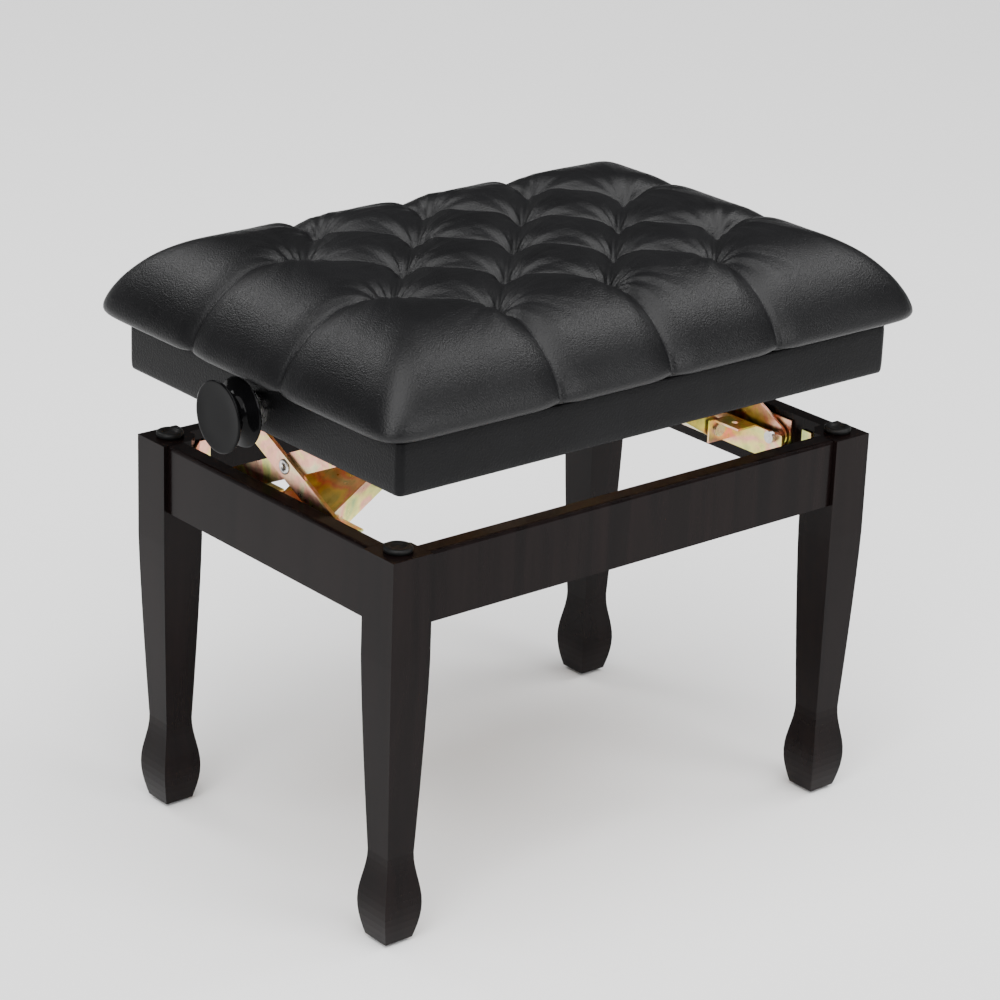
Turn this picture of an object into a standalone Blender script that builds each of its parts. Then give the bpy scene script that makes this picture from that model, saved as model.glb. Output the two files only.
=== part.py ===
"""Piano bench with a tufted seat that is raised by scissor arms and a hand screw.

Metres, +Z up.  The origin is on the floor at the middle of the bench, +X runs along
the long side and -Y is the front.  Every left and right piece is made by one function
with a side of -1 or +1.
"""
import math

import bpy
import bmesh
from mathutils import Matrix, Vector

# Gaps and segments
GAP = 0.0003
ROUND_SIDES = 20
SMALL_SIDES = 12

# Frame of legs and aprons
SPAN_X = 0.520
SPAN_Y = 0.352
FRAME_HEIGHT = 0.340
GLIDE_HEIGHT = 0.003
GLIDE_RADIUS = 0.009
LEG_WIDTH = 0.039
LEG_TAPER_TOP = 0.250
LEG_ANKLE_HEIGHT = 0.080
LEG_ANKLE_WIDTH = 0.0265
LEG_SPADE_HEIGHT = 0.035
LEG_SPADE_WIDTH = 0.0375
LEG_FOOT_WIDTH = 0.0255
LEG_CHAMFER = 0.011
APRON_HEIGHT = 0.060
APRON_THICKNESS = 0.016
APRON_SETBACK = 0.004
APRON_ROUND = 0.003
BUMPER_RADIUS = 0.012
BUMPER_HEIGHT = 0.0047

# Steel corner braces and their bolts
BRACE_THICKNESS = 0.002
BRACE_HEIGHT = 0.036
BRACE_FLANGE = 0.012
BRACE_DROP = 0.010
BOLT_RADIUS = 0.003
BOLT_DEPTH = 0.022
BOLT_HEAD_RADIUS = 0.0062
BOLT_HEAD_HEIGHT = 0.004

# Seat box, panel and cushion
BOX_OVERHANG_X = 0.003
BOX_OVERHANG_Y = 0.008
BOX_BOTTOM = 0.397
BOX_HEIGHT = 0.045
RAIL_THICKNESS = 0.016
PANEL_THICKNESS = 0.010
CUSHION_HEIGHT = 0.078
CUSHION_OVERHANG_X = 0.0255
CUSHION_OVERHANG_Y = 0.0200
CUSHION_CORNER = 0.030

# Cushion section from its base up: inset from the widest line, and share of the height
CUSHION_SECTION = (
    (0.0184, 0.00),
    (0.0161, 0.06),
    (0.0046, 0.08),
    (0.0000, 0.16),
    (0.0000, 0.26),
    (0.0046, 0.42),
    (0.0184, 0.62),
    (0.0414, 0.82),
    (0.0690, 0.95),
    (0.1058, 1.00),
)

# Scissor arms at each end
ARM_LENGTH = 0.200
ARM_WIDTH = 0.020
ARM_SHEET = 0.002
ARM_LIP = 0.0014
ARM_PIN_RADIUS = 0.0035
ARM_PIVOT_Y = -0.091
ARM_PIVOT_Z = 0.318
ARM_TOP_Z = 0.401
ARM_PLAY = 0.0024
ARM_REST_LIFT = 0.0016
ARM_NEAR_Y = 0.0605
ARM_FAR_Y = 0.1072
RIVET_HEAD_RADIUS = 0.0065
RIVET_HEAD_HEIGHT = 0.0012

# Sheet steel brackets that carry the arms
SHEET = 0.002
CHANNEL_DEPTH = 0.026
CHANNEL_WIDTH = 0.0127
CHANNEL_RISE = 0.012
BRACKET_BOTTOM = 0.296
BRACKET_END_MARGIN = 0.0045
EAR_SPACING = 0.070
EAR_REACH = 0.024
EAR_HEIGHT = 0.022
FLANGE_REACH = 0.020
FLANGE_LENGTH = 0.030
FLANGE_HOLE_RADIUS = 0.003
TOP_BRACKET_DROP = 0.012

# Lifting struts, nuts and screw
STRUT_LENGTH = 0.200
STRUT_WIDTH = 0.066
STRUT_SHEET = 0.002
STRUT_LUG_RADIUS = 0.009
STRUT_WEB_OFFSET = 0.007
STRUT_WEB_STOP = 0.030
STRUT_PIVOT_INSET = 0.046
STRUT_PIVOT_Z = 0.311
STRUT_PIN_RADIUS = 0.0035
STRUT_PIN_HEAD_RADIUS = 0.006
NUT_LENGTH = 0.020
NUT_WIDTH = 0.040
NUT_HEIGHT = 0.022
NUT_PLAY = 0.0029
NUT_REST_LIFT = 0.0024
SCREW_RADIUS = 0.005
SCREW_Z = 0.416
SCREW_IN_KNOB = 0.018
BEARING_RADIUS = 0.008
BEARING_FLANGE_RADIUS = 0.014
BEARING_FLANGE = 0.0035
BEARING_PLAY = 0.0003
KNOB_GAP = 0.0155
KNOB_LENGTH = 0.0235
KNOB_RADIUS = 0.030
KNOB_BACK_RADIUS = 0.0292
KNOB_NECK_RADIUS = 0.017
KNOB_LIP = 0.0025

# Places worked out from the sizes above
HALF_X = SPAN_X / 2
HALF_Y = SPAN_Y / 2
BOX_HALF_X = HALF_X + BOX_OVERHANG_X
BOX_HALF_Y = HALF_Y + BOX_OVERHANG_Y
BOX_TOP = BOX_BOTTOM + BOX_HEIGHT
APRON_INNER_X = HALF_X - APRON_SETBACK - APRON_THICKNESS
APRON_INNER_Y = HALF_Y - APRON_SETBACK - APRON_THICKNESS
RAIL_INNER_X = BOX_HALF_X - RAIL_THICKNESS
RAIL_INNER_Y = BOX_HALF_Y - RAIL_THICKNESS
PANEL_BOTTOM = BOX_TOP - GAP - PANEL_THICKNESS
CHANNEL_OUT_X = APRON_INNER_X - GAP
CHANNEL_IN_X = CHANNEL_OUT_X - CHANNEL_WIDTH
BRACKET_TOP = BRACKET_BOTTOM + CHANNEL_DEPTH
OUTER_ARM_X = CHANNEL_OUT_X - SHEET - GAP - ARM_LIP - ARM_SHEET
INNER_ARM_X = OUTER_ARM_X - GAP - ARM_SHEET
BRACKET_FRONT_Y = ARM_PIVOT_Y - ARM_PIN_RADIUS - 2 * BRACKET_END_MARGIN
BRACKET_REAR_Y = ARM_FAR_Y + ARM_PIN_RADIUS + BRACKET_END_MARGIN
ARM_RISE = ARM_TOP_Z + ARM_REST_LIFT - ARM_PIVOT_Z
ARM_ANGLE = math.asin(ARM_RISE / ARM_LENGTH)
ARM_MID_Y = ARM_PIVOT_Y + ARM_LENGTH / 2 * math.cos(ARM_ANGLE)
ARM_MID_Z = ARM_PIVOT_Z + ARM_RISE / 2
STRUT_PIVOT_X = HALF_X - STRUT_PIVOT_INSET
NUT_Z = SCREW_Z + NUT_REST_LIFT
STRUT_ANGLE = math.asin((NUT_Z - STRUT_PIVOT_Z) / STRUT_LENGTH)
NUT_X = STRUT_PIVOT_X - STRUT_LENGTH * math.cos(STRUT_ANGLE)
KNOB_BACK_X = BOX_HALF_X + KNOB_GAP

SIDES = (("left", -1), ("right", 1))
ENDS = (("front", -1), ("rear", 1))


def clear_scene():
    for item in list(bpy.data.objects):
        bpy.data.objects.remove(item, do_unlink=True)


def material(name, color, roughness, metallic=0.0):
    made = bpy.data.materials.new(name)
    made.use_nodes = True
    shader = made.node_tree.nodes["Principled BSDF"]
    shader.inputs["Base Color"].default_value = (*color, 1.0)
    shader.inputs["Roughness"].default_value = roughness
    shader.inputs["Metallic"].default_value = metallic
    made.diffuse_color = (*color, 1.0)
    return made


def lacquer(name):
    return material(name, (0.020, 0.017, 0.017), 0.28)


def leather(name):
    return material(name, (0.022, 0.022, 0.024), 0.42)


def zinc(name):
    return material(name, (0.78, 0.66, 0.42), 0.30, 1.0)


def steel(name):
    return material(name, (0.56, 0.56, 0.55), 0.32, 1.0)


def rubber(name):
    return material(name, (0.015, 0.015, 0.015), 0.75)


def gloss_black(name):
    return material(name, (0.010, 0.010, 0.011), 0.12)


def plywood(name):
    return material(name, (0.55, 0.40, 0.24), 0.65)


def solid(name, points, faces, finish=None, origin=(0, 0, 0)):
    """A closed mesh object whose points are given in the bench's own frame."""
    base = Vector(origin)
    work = bmesh.new()
    made = [work.verts.new(Vector(point) - base) for point in points]
    for face in faces:
        work.faces.new([made[index] for index in face])
    bmesh.ops.remove_doubles(work, verts=work.verts, dist=1e-7)
    bmesh.ops.recalc_face_normals(work, faces=work.faces)
    mesh = bpy.data.meshes.new(name)
    work.to_mesh(mesh)
    work.free()
    item = bpy.data.objects.new(name, mesh)
    bpy.context.collection.objects.link(item)
    item.location = base
    if finish:
        mesh.materials.append(finish(name))
    return item


def ring_solid(name, rings, finish=None, origin=(0, 0, 0)):
    """A solid skinned over a run of rings that all have the same number of points."""
    count = len(rings[0])
    points = [point for ring in rings for point in ring]
    faces = [list(range(count))]
    for row in range(len(rings) - 1):
        for step in range(count):
            after = (step + 1) % count
            low, high = row * count, (row + 1) * count
            faces.append([low + step, low + after, high + after, high + step])
    faces.append([(len(rings) - 1) * count + step for step in range(count)])
    return solid(name, points, faces, finish, origin)


def placed(axis, along, across):
    """A point from its distance along an axis and its two places across it."""
    if axis == "X":
        return (along, across[0], across[1])
    if axis == "Y":
        return (across[0], along, across[1])
    return (across[0], across[1], along)


def prism(name, axis, outline, low, high, finish=None, origin=(0, 0, 0)):
    rings = [[placed(axis, along, point) for point in outline] for along in (low, high)]
    return ring_solid(name, rings, finish, origin)


def block(name, low, high, finish=None, origin=(0, 0, 0)):
    outline = ((low[0], low[1]), (high[0], low[1]), (high[0], high[1]), (low[0], high[1]))
    return prism(name, "Z", outline, low[2], high[2], finish, origin)


def mirrored_block(name, side, near, far, low, high, finish=None, origin=(0, 0, 0)):
    """A block between two distances from the middle of the bench on one side."""
    edges = sorted((side * near, side * far))
    start = (edges[0], low[0], low[1])
    end = (edges[1], high[0], high[1])
    return block(name, start, end, finish, origin)


def circle(centre, radius, sides, shape="round"):
    """Points of a round or, with the same number of points, a hexagonal outline."""
    points = []
    for step in range(sides):
        angle = 2 * math.pi * (step + 0.5) / sides
        reach = radius
        if shape == "hex":
            turn = (angle + math.pi / 6) % (math.pi / 3) - math.pi / 6
            reach = radius * math.cos(math.pi / 6) / math.cos(turn)
        points.append((centre[0] + reach * math.cos(angle), centre[1] + reach * math.sin(angle)))
    return points


def turned(name, axis, centre, profile, sides, finish=None, origin=(0, 0, 0)):
    """A turned solid; the profile lists (distance along the axis, radius, shape)."""
    rings = []
    for entry in profile:
        shape = entry[2] if len(entry) > 2 else "round"
        outline = circle(centre, entry[1], sides, shape)
        rings.append([placed(axis, entry[0], point) for point in outline])
    return ring_solid(name, rings, finish, origin)


def rod(name, axis, centre, radius, low, high, sides=SMALL_SIDES, finish=None, origin=(0, 0, 0)):
    return turned(name, axis, centre, ((low, radius), (high, radius)), sides, finish, origin)


def combine(target, tool, operation):
    """Apply one exact boolean to the target and remove the tool."""
    change = target.modifiers.new("shape", "BOOLEAN")
    change.operation = operation
    change.solver = "EXACT"
    change.object = tool
    graph = bpy.context.evaluated_depsgraph_get()
    result = bpy.data.meshes.new_from_object(target.evaluated_get(graph))
    target.modifiers.clear()
    target.data = result
    bpy.data.objects.remove(tool, do_unlink=True)


def cut(target, tool):
    combine(target, tool, "DIFFERENCE")


def join(target, tool):
    combine(target, tool, "UNION")


def stadium(start, end, radius, steps=6):
    """A bar outline with round ends about two points."""
    heading = math.atan2(end[1] - start[1], end[0] - start[0])
    points = []
    for centre, turn in ((end, heading - math.pi / 2), (start, heading + math.pi / 2)):
        for step in range(steps + 1):
            angle = turn + math.pi * step / steps
            points.append((centre[0] + radius * math.cos(angle), centre[1] + radius * math.sin(angle)))
    return points


def leg_width(height):
    """Width of the square leg at a height: straight, a long taper and a spade foot."""
    if height >= LEG_TAPER_TOP:
        return LEG_WIDTH
    if height >= LEG_ANKLE_HEIGHT:
        share = (LEG_TAPER_TOP - height) / (LEG_TAPER_TOP - LEG_ANKLE_HEIGHT)
        return LEG_WIDTH + (LEG_ANKLE_WIDTH - LEG_WIDTH) * share ** 1.25
    if height >= LEG_SPADE_HEIGHT:
        share = (LEG_ANKLE_HEIGHT - height) / (LEG_ANKLE_HEIGHT - LEG_SPADE_HEIGHT)
        swell = 0.5 - 0.5 * math.cos(math.pi * share)
        return LEG_ANKLE_WIDTH + (LEG_SPADE_WIDTH - LEG_ANKLE_WIDTH) * swell
    share = (LEG_SPADE_HEIGHT - height) / LEG_SPADE_HEIGHT
    return LEG_FOOT_WIDTH + (LEG_SPADE_WIDTH - LEG_FOOT_WIDTH) * math.cos(share * math.pi / 2)


def steps_between(start, end, count):
    return [start + (end - start) * step / count for step in range(count)]


def leg_axis(side, end):
    return (side * (HALF_X - LEG_WIDTH / 2), end * (HALF_Y - LEG_WIDTH / 2))


def brace_line():
    """Sum of |x| and |y| on the leg's chamfered inner corner."""
    return HALF_X + HALF_Y - 2 * LEG_WIDTH + LEG_CHAMFER


def diagonal_tool(name, side, end, profile):
    """A turned tool along a corner's diagonal; distances are from the chamfer, into the leg."""
    middle_x = HALF_X - LEG_WIDTH + LEG_CHAMFER / 2
    middle_y = HALF_Y - LEG_WIDTH + LEG_CHAMFER / 2
    made = turned(name, "X", (0, 0), profile, SMALL_SIDES)
    heading = math.atan2(end, side)
    height = FRAME_HEIGHT - BRACE_DROP - BRACE_HEIGHT / 2
    place = Matrix.Translation((side * middle_x, end * middle_y, height))
    made.data.transform(place @ Matrix.Rotation(heading, 4, "Z"))
    return made


def make_leg(name, side, end):
    heights = [GLIDE_HEIGHT + GAP]
    heights += steps_between(LEG_SPADE_HEIGHT * 0.25, LEG_SPADE_HEIGHT, 4)
    heights += steps_between(LEG_SPADE_HEIGHT, LEG_ANKLE_HEIGHT, 7)
    heights += steps_between(LEG_ANKLE_HEIGHT, LEG_TAPER_TOP, 8)
    heights += [LEG_TAPER_TOP, FRAME_HEIGHT]
    centre_x, centre_y = leg_axis(side, end)
    rings = []
    for height in heights:
        half = leg_width(height) / 2
        corners = ((-half, -half), (half, -half), (half, half), (-half, half))
        rings.append([(centre_x + x, centre_y + y, height) for x, y in corners])
    leg = ring_solid(name, rings, lacquer)
    inner_x = side * (HALF_X - LEG_WIDTH)
    inner_y = end * (HALF_Y - LEG_WIDTH)
    reach = LEG_CHAMFER
    wedge = (
        (inner_x - side * reach, inner_y - end * reach),
        (inner_x + side * 2 * reach, inner_y - end * reach),
        (inner_x - side * reach, inner_y + end * 2 * reach),
    )
    cut(leg, prism("wedge", "Z", wedge, FRAME_HEIGHT - APRON_HEIGHT, FRAME_HEIGHT + reach))
    bore = BOLT_RADIUS + GAP
    profile = ((-reach, bore), (BOLT_DEPTH + GAP, bore))
    cut(leg, diagonal_tool("bore", side, end, profile))
    return leg


def make_glide(name, side, end):
    profile = (
        (0, GLIDE_RADIUS * 0.9),
        (GLIDE_HEIGHT * 0.4, GLIDE_RADIUS),
        (GLIDE_HEIGHT, GLIDE_RADIUS),
    )
    return turned(name, "Z", leg_axis(side, end), profile, ROUND_SIDES, rubber)


def make_bumper(name, side, end):
    base = FRAME_HEIGHT + GAP
    top = FRAME_HEIGHT + GAP + BUMPER_HEIGHT
    profile = (
        (base, BUMPER_RADIUS * 0.94),
        (base + BUMPER_HEIGHT * 0.6, BUMPER_RADIUS),
        (top - BUMPER_HEIGHT * 0.12, BUMPER_RADIUS * 0.94),
        (top, BUMPER_RADIUS * 0.80),
        (top, BUMPER_RADIUS * 0.50),
        (top - BUMPER_HEIGHT * 0.3, BUMPER_RADIUS * 0.36),
    )
    return turned(name, "Z", leg_axis(side, end), profile, ROUND_SIDES, rubber)


def apron_outline(outer, direction):
    """Upright section of an apron; its outer top edge is rounded."""
    inner = outer - direction * APRON_THICKNESS
    bottom = FRAME_HEIGHT - APRON_HEIGHT
    points = [(inner, bottom), (outer, bottom)]
    for step in range(4):
        angle = math.pi / 2 * step / 3
        across = outer - direction * APRON_ROUND * (1 - math.cos(angle))
        points.append((across, FRAME_HEIGHT - APRON_ROUND * (1 - math.sin(angle))))
    points.append((inner, FRAME_HEIGHT))
    return points


def make_aprons():
    reach_x = HALF_X - LEG_WIDTH - GAP
    reach_y = HALF_Y - LEG_WIDTH - GAP
    for word, end in ENDS:
        outline = apron_outline(end * (HALF_Y - APRON_SETBACK), end)
        prism(f"apron_{word}", "X", outline, -reach_x, reach_x, lacquer)
    for word, side in SIDES:
        outline = apron_outline(side * (HALF_X - APRON_SETBACK), side)
        prism(f"apron_{word}", "Y", outline, -reach_y, reach_y, lacquer)


def make_brace(name, side, end):
    """A bent steel plate across a corner, with a flange on each apron."""
    near_x = APRON_INNER_X - GAP
    near_y = APRON_INNER_Y - GAP
    line = brace_line() - GAP * math.sqrt(2)
    back = line - BRACE_THICKNESS * math.sqrt(2)
    thick = BRACE_THICKNESS
    bend = thick * (math.sqrt(2) - 1)
    outline = (
        (near_x, line - near_x),
        (near_x, line - near_x - BRACE_FLANGE),
        (near_x - thick, line - near_x - BRACE_FLANGE),
        (near_x - thick, line - near_x - bend),
        (line - near_y - bend, near_y - thick),
        (line - near_y - BRACE_FLANGE, near_y - thick),
        (line - near_y - BRACE_FLANGE, near_y),
        (line - near_y, near_y),
    )
    top = FRAME_HEIGHT - BRACE_DROP
    placed_outline = [(side * x, end * y) for x, y in outline]
    brace = prism(name, "Z", placed_outline, top - BRACE_HEIGHT, top, zinc)
    hole = BOLT_RADIUS + GAP
    profile = ((-LEG_CHAMFER, hole), (LEG_CHAMFER / 2, hole))
    cut(brace, diagonal_tool("hole", side, end, profile))
    return brace


def make_corner_bolt(name, side, end):
    face = -GAP - BRACE_THICKNESS - GAP
    head = face - BOLT_HEAD_HEIGHT
    tip = head - BOLT_HEAD_HEIGHT
    profile = (
        (tip, BOLT_RADIUS),
        (head, BOLT_RADIUS),
        (head, BOLT_HEAD_RADIUS, "hex"),
        (face, BOLT_HEAD_RADIUS, "hex"),
        (face, BOLT_RADIUS),
        (BOLT_DEPTH, BOLT_RADIUS),
    )
    bolt = diagonal_tool(name, side, end, profile)
    bolt.data.materials.append(steel(name))
    return bolt


def slot_tool(name, side, height, play):
    """A tool for a slot along Y that an arm's pin slides in."""
    radius = ARM_PIN_RADIUS + play
    outline = stadium((ARM_NEAR_Y, height), (ARM_FAR_Y, height), radius)
    reach = sorted((side * (CHANNEL_IN_X - SHEET), side * (CHANNEL_OUT_X + SHEET)))
    return prism(name, "X", outline, reach[0], reach[1])


def side_hole(name, side, height, y, radius, depth=None):
    near = CHANNEL_IN_X - SHEET
    far = near + depth if depth else CHANNEL_OUT_X + SHEET
    reach = sorted((side * near, side * far))
    return rod(name, "X", (y, height), radius, reach[0], reach[1])


def make_lower_bracket(name, side):
    """A steel channel on the end apron, with ears for the strut and screw flanges."""
    section = (
        (CHANNEL_OUT_X, BRACKET_TOP + CHANNEL_RISE),
        (CHANNEL_OUT_X, BRACKET_BOTTOM),
        (CHANNEL_IN_X, BRACKET_BOTTOM),
        (CHANNEL_IN_X, BRACKET_TOP),
        (CHANNEL_IN_X + SHEET, BRACKET_TOP),
        (CHANNEL_IN_X + SHEET, BRACKET_BOTTOM + SHEET),
        (CHANNEL_OUT_X - SHEET, BRACKET_BOTTOM + SHEET),
        (CHANNEL_OUT_X - SHEET, BRACKET_TOP + CHANNEL_RISE),
    )
    outline = [(side * x, z) for x, z in section]
    bracket = prism(name, "Y", outline, BRACKET_FRONT_Y, BRACKET_REAR_Y, zinc)
    wall = CHANNEL_IN_X + SHEET / 2
    for end in (-1, 1):
        rows = sorted((end * EAR_SPACING / 2, end * (EAR_SPACING / 2 + SHEET)))
        low = (rows[0], BRACKET_TOP - EAR_HEIGHT)
        high = (rows[1], BRACKET_TOP - SHEET / 2)
        join(bracket, mirrored_block("ear", side, CHANNEL_IN_X - EAR_REACH, wall, low, high))
        start = EAR_SPACING / 2 + 2 * SHEET
        rows = sorted((end * start, end * (start + FLANGE_LENGTH)))
        low = (rows[0], BRACKET_TOP - SHEET)
        high = (rows[1], BRACKET_TOP)
        near = CHANNEL_IN_X - FLANGE_REACH
        flange = mirrored_block("flange", side, near, CHANNEL_IN_X + SHEET, low, high)
        middle = (side * (near + CHANNEL_IN_X) / 2, end * (start + FLANGE_LENGTH / 2))
        radius = FLANGE_HOLE_RADIUS
        cut(flange, rod("hole", "Z", middle, radius, BRACKET_TOP - 2 * SHEET, BRACKET_TOP + SHEET))
        join(bracket, flange)
    pin = STRUT_PIN_RADIUS + GAP
    ear = EAR_SPACING
    cut(bracket, rod("hole", "Y", (side * STRUT_PIVOT_X, STRUT_PIVOT_Z), pin, -ear, ear))
    cut(bracket, side_hole("hole", side, ARM_PIVOT_Z, ARM_PIVOT_Y, ARM_PIN_RADIUS + GAP))
    cut(bracket, slot_tool("slot", side, ARM_PIVOT_Z, GAP))
    return bracket


def arm_origin(crossed):
    if crossed:
        return (ARM_MID_Y, ARM_MID_Z)
    return (ARM_PIVOT_Y, ARM_PIVOT_Z)


def make_arm(name, side, crossed):
    """One scissor arm of folded sheet with its pins; the crossed one falls to the rear."""
    low_y, high_y = (ARM_PIVOT_Y, 2 * ARM_MID_Y - ARM_PIVOT_Y)
    top_z = ARM_PIVOT_Z + ARM_RISE
    start = (low_y, top_z if crossed else ARM_PIVOT_Z)
    finish_at = (high_y, ARM_PIVOT_Z if crossed else top_z)
    inner = INNER_ARM_X if crossed else OUTER_ARM_X
    home = arm_origin(crossed)
    origin = (0, home[0], home[1])
    faces = sorted((side * inner, side * (inner + ARM_SHEET)))
    outline = stadium(start, finish_at, ARM_WIDTH / 2)
    arm = prism(name, "X", outline, faces[0], faces[1], zinc, origin)
    join(arm, arm_lip(side, crossed, start, finish_at))
    eye = ARM_PIN_RADIUS + GAP
    middle = (ARM_MID_Y, ARM_MID_Z)
    cut(arm, side_hole("eye", side, middle[1], middle[0], eye))
    if not crossed:
        cut(arm, side_hole("eye", side, ARM_PIVOT_Z, ARM_PIVOT_Y, eye))
    for tool in arm_pins(side, crossed, start, finish_at):
        join(arm, tool)
    return arm


def arm_lip(side, crossed, start, finish_at):
    """The folded edge along an arm's upper side, outward on the first arm, inward on the second."""
    heading = math.atan2(finish_at[1] - start[1], finish_at[0] - start[0])
    along = Vector((math.cos(heading), math.sin(heading)))
    across = Vector((-along.y, along.x))
    trim = ARM_WIDTH / 2
    first = Vector(start) + along * trim
    last = Vector(finish_at) - along * trim
    outer = ARM_WIDTH / 2
    inner = ARM_WIDTH / 2 - ARM_SHEET
    outline = (
        first + across * inner,
        last + across * inner,
        last + across * outer,
        first + across * outer,
    )
    if crossed:
        reach = (INNER_ARM_X - ARM_LIP, INNER_ARM_X + ARM_SHEET)
    else:
        reach = (OUTER_ARM_X, OUTER_ARM_X + ARM_SHEET + ARM_LIP)
    reach = sorted((side * reach[0], side * reach[1]))
    return prism("lip", "X", [tuple(point) for point in outline], reach[0], reach[1])


def arm_pins(side, crossed, start, finish_at):
    """Pins at the arm's sliding end and at its end in the seat."""
    pin = ARM_PIN_RADIUS
    inward = CHANNEL_IN_X - SHEET / 2
    outward = CHANNEL_OUT_X - GAP
    if not crossed:
        reach = sorted((side * inward, side * (OUTER_ARM_X + ARM_SHEET / 2)))
        return [rod("pin", "X", finish_at, pin, reach[0], reach[1])]
    up = sorted((side * inward, side * (INNER_ARM_X + ARM_SHEET / 2)))
    down = sorted((side * (INNER_ARM_X + ARM_SHEET / 2), side * outward))
    upper = rod("pin", "X", start, pin, up[0], up[1])
    lower = rod("pin", "X", finish_at, pin, down[0], down[1])
    return [upper, lower]


def make_rivet(name, side):
    """The eyelet through both arms where they cross."""
    low = INNER_ARM_X - GAP
    high = OUTER_ARM_X + ARM_SHEET + GAP
    head = RIVET_HEAD_RADIUS
    profile = (
        (side * (low - RIVET_HEAD_HEIGHT), head * 0.8),
        (side * low, head),
        (side * low, ARM_PIN_RADIUS),
        (side * high, ARM_PIN_RADIUS),
        (side * high, head),
        (side * (high + RIVET_HEAD_HEIGHT), head * 0.8),
    )
    middle = (ARM_MID_Y, ARM_MID_Z)
    return turned(name, "X", middle, profile, ROUND_SIDES, steel, (0, *middle))


def make_arm_bolt(name, side):
    """The fixed pivot bolt through the channel and the first arm's front end."""
    wall = CHANNEL_IN_X - GAP
    profile = (
        (side * (wall - BOLT_HEAD_HEIGHT), BOLT_HEAD_RADIUS, "hex"),
        (side * wall, BOLT_HEAD_RADIUS, "hex"),
        (side * wall, ARM_PIN_RADIUS),
        (side * (CHANNEL_OUT_X - GAP), ARM_PIN_RADIUS),
    )
    return turned(name, "X", (ARM_PIVOT_Y, ARM_PIVOT_Z), profile, SMALL_SIDES, steel)


def make_upper_bracket(name, side):
    """The bracket under the seat panel that takes the arms' upper pins."""
    top = PANEL_BOTTOM - GAP
    bottom = ARM_TOP_Z - TOP_BRACKET_DROP
    reach = RAIL_INNER_X - GAP
    section = (
        (CHANNEL_IN_X, bottom),
        (CHANNEL_IN_X, top),
        (reach, top),
        (reach, top - SHEET),
        (CHANNEL_IN_X + SHEET, top - SHEET),
        (CHANNEL_IN_X + SHEET, bottom),
    )
    outline = [(side * x, z) for x, z in section]
    bracket = prism(name, "Y", outline, BRACKET_FRONT_Y, BRACKET_REAR_Y, zinc)
    cut(bracket, side_hole("hole", side, ARM_TOP_Z, ARM_PIVOT_Y, ARM_PIN_RADIUS + ARM_PLAY))
    cut(bracket, slot_tool("slot", side, ARM_TOP_Z, ARM_PLAY))
    cut(bracket, side_hole("hole", side, SCREW_Z, 0, SCREW_RADIUS + 2 * ARM_PLAY))
    return bracket


def make_strut(name, side):
    """A folded channel strap from the end bracket up to the nut."""
    pivot = (side * STRUT_PIVOT_X, STRUT_PIVOT_Z)
    nut = (side * NUT_X, NUT_Z)
    origin = (pivot[0], 0, pivot[1])
    outer = STRUT_WIDTH / 2
    inner = outer - STRUT_SHEET
    outline = stadium(pivot, nut, STRUT_LUG_RADIUS)
    strut = prism(name, "Y", outline, -outer, outer, zinc, origin)
    along = (Vector(nut) - Vector(pivot)).normalized()
    across = Vector((-along.y, along.x)) * (1 if along.x > 0 else -1)
    floor = -STRUT_WEB_OFFSET
    roof = 2 * STRUT_LUG_RADIUS
    back = Vector(pivot) - along * roof
    front = Vector(nut) + along * roof
    stop = Vector(nut) - along * STRUT_WEB_STOP
    start = Vector(pivot) + along * STRUT_LUG_RADIUS
    hollow = (
        back - across * roof,
        start - across * roof,
        start + across * floor,
        stop + across * floor,
        stop - across * roof,
        front - across * roof,
        front + across * roof,
        back + across * roof,
    )
    cut(strut, prism("hollow", "Y", [tuple(point) for point in hollow], -inner, inner))
    pin = STRUT_PIN_RADIUS + GAP
    for centre in (pivot, nut):
        cut(strut, rod("hole", "Y", centre, pin, -STRUT_WIDTH, STRUT_WIDTH))
    return strut


def make_strut_pin(name, side):
    face = EAR_SPACING / 2 + SHEET + GAP
    head = STRUT_PIN_HEAD_RADIUS
    profile = (
        (-face - SHEET, head),
        (-face, head),
        (-face, STRUT_PIN_RADIUS),
        (face, STRUT_PIN_RADIUS),
        (face, head),
        (face + SHEET, head),
    )
    centre = (side * STRUT_PIVOT_X, STRUT_PIVOT_Z)
    return turned(name, "Y", centre, profile, SMALL_SIDES, steel)


def make_nut(name, side):
    """A block nut with a trunnion on each side for the strut."""
    centre = (side * NUT_X, 0, NUT_Z)
    half = Vector((NUT_LENGTH / 2, NUT_WIDTH / 2, NUT_HEIGHT / 2))
    nut = block(name, Vector(centre) - half, Vector(centre) + half, steel, centre)
    reach = STRUT_WIDTH / 2 + GAP
    join(nut, rod("pin", "Y", (centre[0], NUT_Z), STRUT_PIN_RADIUS, -reach, reach))
    bore = SCREW_RADIUS + NUT_PLAY
    start = centre[0] - NUT_LENGTH
    cut(nut, rod("bore", "X", (0, NUT_Z), bore, start, start + 2 * NUT_LENGTH, ROUND_SIDES))
    return nut


def make_screw(name):
    reach = KNOB_BACK_X + SCREW_IN_KNOB - GAP
    home = (0, 0, SCREW_Z)
    return rod(name, "X", (0, SCREW_Z), SCREW_RADIUS, -reach, reach, ROUND_SIDES, steel, home)


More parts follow.
